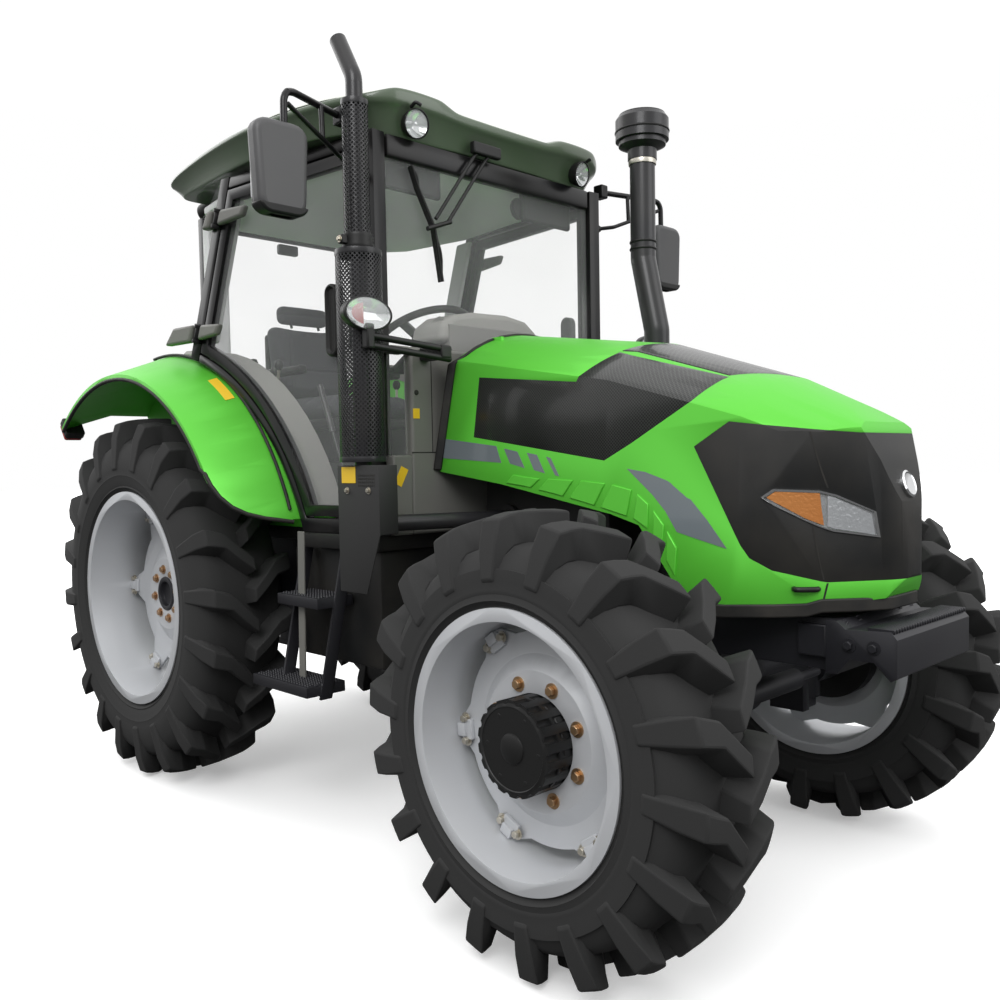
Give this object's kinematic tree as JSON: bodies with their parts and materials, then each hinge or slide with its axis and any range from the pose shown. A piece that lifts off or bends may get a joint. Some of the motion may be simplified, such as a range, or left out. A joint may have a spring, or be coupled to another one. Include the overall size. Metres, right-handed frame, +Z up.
{
  "type": "farm tractor",
  "caption": "Four-wheel-drive farm tractor with an enclosed cab, high-lug tyres, tilting hood, steered front axle and rear three-point lift.",
  "frame": {"origin": "on the ground, below the middle of the whole outline", "axes": "+X forward, +Y to the driver's left, +Z up"},
  "size_m": [3.8549, 2.032, 2.5546],
  "materials": {
    "body_green": "gloss paint",
    "roof_green": "satin moulding",
    "chassis_black": "satin paint",
    "engine_paint": "painted casting",
    "dark_trim": "moulded plastic",
    "cab_frame": "satin paint",
    "grey_band": "moulded plastic",
    "glass": "clear",
    "seat_cloth": "woven",
    "exhaust_black": "heat-proof paint",
    "gloss_black": "gloss paint",
    "lamp_lens": "clear lens",
    "mesh_black": "pressed mesh",
    "rim_silver": "silver paint",
    "tyre_rubber": "moulded rubber"
  },
  "bodies": {
    "chassis": {"engine_block": "engine_paint", "gearbox_housing": "chassis_black", "rear_axle": "chassis_black", "front_frame": "chassis_black", "front_axle": "chassis_black", "radiator": "chassis_black", "front_bracket": "chassis_black", "cowl": "dark_trim", "fuel_tank": "dark_trim", "battery_box": "dark_trim", "cab_floor": "chassis_black", "cab_posts": "cab_frame", "cab_headers": "cab_frame", "cab_sills": "grey_band", "cab_roof": "roof_green", "cab_glass": "glass", "seat": "seat_cloth", "dash": "dark_trim", "fenders": "body_green", "steps": "chassis_black", "exhaust_pipe": "exhaust_black", "exhaust_guard": "exhaust_black", "heat_shield": "chassis_black", "intake_stack": "gloss_black", "mirrors": "dark_trim", "lamps": "lamp_lens", "drawbar": "chassis_black"},
    "hood": {"hood_shell": "body_green", "grille": "mesh_black", "hood_mesh": "mesh_black", "headlamps": "lamp_lens"},
    "door_left": {"door_left": "cab_frame", "door_glass_left": "glass"},
    "door_right": {"door_right": "cab_frame", "door_glass_right": "glass"},
    "steering_wheel": {"steering_wheel": "dark_trim"},
    "knuckle_left": {"knuckle_left": "chassis_black"},
    "knuckle_right": {"knuckle_right": "chassis_black"},
    "tie_rod": {"tie_rod": "chassis_black"},
    "wheel_front_left": {"rim_front_left": "rim_silver", "tyre_front_left": "tyre_rubber", "hub_front_left": "gloss_black"},
    "wheel_front_right": {"rim_front_right": "rim_silver", "tyre_front_right": "tyre_rubber", "hub_front_right": "gloss_black"},
    "wheel_rear_left": {"rim_rear_left": "rim_silver", "tyre_rear_left": "tyre_rubber"},
    "wheel_rear_right": {"rim_rear_right": "rim_silver", "tyre_rear_right": "tyre_rubber"},
    "lower_links": {"lower_links": "chassis_black"},
    "lift_arms": {"lift_arms": "chassis_black"},
    "lift_rods": {"lift_rods": "chassis_black"}
  },
  "joints": [
    {"name": "roll_rear_left", "type": "hinge", "parent": "chassis", "child": "wheel_rear_left", "pos_m": [-0.88, 0.649, 0.715], "axis": [0, 1, 0], "continuous": true},
    {"name": "roll_rear_right", "type": "hinge", "parent": "chassis", "child": "wheel_rear_right", "pos_m": [-0.88, -0.649, 0.715], "axis": [0, 1, 0], "continuous": true},
    {"name": "steer_left", "type": "hinge", "parent": "chassis", "child": "knuckle_left", "pos_m": [1.3, 0.53, 0.558], "axis": [0, 0, 1], "range_deg": [-30, 30]},
    {"name": "roll_front_left", "type": "hinge", "parent": "knuckle_left", "child": "wheel_front_left", "pos_m": [1.3, 0.723, 0.558], "axis": [0, 1, 0], "continuous": true},
    {"name": "steer_right", "type": "hinge", "parent": "chassis", "child": "knuckle_right", "pos_m": [1.3, -0.53, 0.558], "axis": [0, 0, 1], "range_deg": [-30, 30]},
    {"name": "roll_front_right", "type": "hinge", "parent": "knuckle_right", "child": "wheel_front_right", "pos_m": [1.3, -0.723, 0.558], "axis": [0, 1, 0], "continuous": true},
    {"name": "tie_rod_turn", "type": "hinge", "parent": "knuckle_left", "child": "tie_rod", "pos_m": [1.13, 0.53, 0.44], "axis": [0, 0, 1], "range_deg": [-30, 30]},
    {"name": "hood_lift", "type": "hinge", "parent": "chassis", "child": "hood", "pos_m": [0.585, 0, 1.588], "axis": [0, -1, 0], "range_deg": [0, 50]},
    {"name": "door_left_swing", "type": "hinge", "parent": "chassis", "child": "door_left", "pos_m": [-0.54133, 0.67078, 1.64], "axis": [0.3409, -0.0372, 0.9394], "range_deg": [0, 70]},
    {"name": "door_right_swing", "type": "hinge", "parent": "chassis", "child": "door_right", "pos_m": [-0.54133, -0.67078, 1.64], "axis": [-0.3409, -0.0372, -0.9394], "range_deg": [0, 70]},
    {"name": "steering_wheel_turn", "type": "hinge", "parent": "chassis", "child": "steering_wheel", "pos_m": [0, 0, 1.7], "axis": [-0.5, 0, 0.866], "continuous": true},
    {"name": "linkage_lift", "type": "hinge", "parent": "chassis", "child": "lower_links", "pos_m": [-1.05, 0, 0.48], "axis": [0, 1, 0], "range_deg": [-12, 32]},
    {"name": "lift_arm_turn", "type": "hinge", "parent": "chassis", "child": "lift_arms", "pos_m": [-1.07, 0, 1], "axis": [0, 1, 0], "range_deg": [-12, 32]},
    {"name": "lift_rod_turn", "type": "hinge", "parent": "lift_arms", "child": "lift_rods", "pos_m": [-1.47, 0, 1], "axis": [0, 1, 0], "range_deg": [-32, 12]}
  ],
  "couplings": [
    {"joint": "steer_right", "follows": "steer_left", "ratio": 1},
    {"joint": "tie_rod_turn", "follows": "steer_left", "ratio": -1},
    {"joint": "lift_arm_turn", "follows": "linkage_lift", "ratio": 1},
    {"joint": "lift_rod_turn", "follows": "linkage_lift", "ratio": -1}
  ]
}
